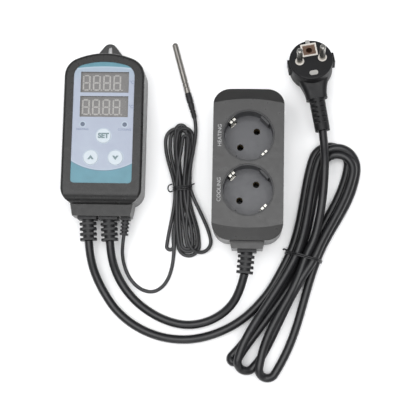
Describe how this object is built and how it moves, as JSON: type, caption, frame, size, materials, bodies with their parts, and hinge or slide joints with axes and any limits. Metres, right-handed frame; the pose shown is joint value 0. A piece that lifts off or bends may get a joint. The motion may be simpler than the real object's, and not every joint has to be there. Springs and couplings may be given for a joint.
{
  "type": "plug-in temperature controller",
  "caption": "Plug-in temperature controller: handset with displays and keys, earthed heating and cooling sockets on a lead, mains cord with moulded plug, and a steel probe on a thin cord.",
  "frame": {"origin": "centre of the handset's flat back, on the surface that everything rests on", "axes": "+Z out of the display, +Y towards the hanger tab, +X to the right of the display"},
  "size_m": [0.2478, 0.2856, 0.0468],
  "materials": {
    "case_black": "fine moulded texture, satin",
    "overlay_print": "printed film, light blue with teal bands, satin",
    "window_clear": "clear, smooth",
    "display_grey": "taupe grey, smooth",
    "segment_white": "milky, unlit",
    "lamp_tint": "tinted lens, unlit",
    "key_white": "printed, satin",
    "part_black": "plain",
    "board_green": "solder resist",
    "relay_blue": "smooth",
    "terminal_green": "smooth",
    "nylon_white": "plain",
    "screw_steel": "zinc plated",
    "relief_black": "soft moulded, satin",
    "well_grey": "fine moulded texture, satin",
    "contact_bright": "nickel plated",
    "contact_brass": "stamped",
    "mains_sheath": "soft sheath, semi-gloss",
    "probe_sheath": "soft sheath, satin",
    "tie_black": "plastic-covered wire",
    "probe_steel": "drawn, satin",
    "plug_black": "soft moulded, satin",
    "plug_insert_white": "smooth"
  },
  "bodies": {
    "controller": {"board_spacers": "nylon_white", "buzzer": "part_black", "control_board": "board_green", "controller_back_shell": "case_black", "controller_case_screws": "screw_steel", "controller_front_shell": "case_black", "cooling_earth_clips": "contact_bright", "cooling_indicator": "lamp_tint", "cooling_live_contact": "contact_brass", "cooling_relay": "relay_blue", "cooling_socket_well": "well_grey", "down_switch": "part_black", "front_overlay": "overlay_print", "heating_earth_clips": "contact_bright", "heating_indicator": "lamp_tint", "heating_live_contact": "contact_brass", "heating_relay": "relay_blue", "heating_socket_well": "well_grey", "lead_strain_relief": "relief_black", "lower_display_module": "display_grey", "lower_display_segments": "segment_white", "lower_display_window": "window_clear", "mains_cord_hank": "mains_sheath", "mains_cord_run": "mains_sheath", "mains_cord_tail": "mains_sheath", "mains_cord_tie": "tie_black", "mains_strain_relief": "relief_black", "neutral_busbar": "contact_brass", "plug_body": "plug_black", "plug_earth_contacts": "contact_bright", "plug_insert": "plug_insert_white", "plug_pins": "contact_bright", "plug_sleeve": "relief_black", "power_board": "board_green", "probe_boot": "relief_black", "probe_cord_hank": "probe_sheath", "probe_cord_run": "probe_sheath", "probe_cord_tail": "probe_sheath", "probe_cord_tie": "tie_black", "probe_strain_relief": "relief_black", "probe_tube": "probe_steel", "set_switch": "part_black", "smoothing_capacitor": "part_black", "socket_back_shell": "case_black", "socket_box_screws": "screw_steel", "socket_box_strain_relief": "relief_black", "socket_front_shell": "case_black", "socket_lead": "mains_sheath", "terminal_block": "terminal_green", "transformer": "part_black", "up_switch": "part_black", "upper_display_module": "display_grey", "upper_display_segments": "segment_white", "upper_display_window": "window_clear"},
    "set_key": {"set_key": "key_white"},
    "up_key": {"up_key": "key_white"},
    "down_key": {"down_key": "key_white"}
  },
  "joints": [
    {"name": "set_key_press", "type": "slide", "parent": "controller", "child": "set_key", "axis": [0, 0, -1], "range_m": [0, 0.0005], "stiffness_N_per_m": 800, "springref_m": -0.0008},
    {"name": "up_key_press", "type": "slide", "parent": "controller", "child": "up_key", "axis": [0, 0, -1], "range_m": [0, 0.0005], "stiffness_N_per_m": 800, "springref_m": -0.0008},
    {"name": "down_key_press", "type": "slide", "parent": "controller", "child": "down_key", "axis": [0, 0, -1], "range_m": [0, 0.0005], "stiffness_N_per_m": 800, "springref_m": -0.0008}
  ]
}
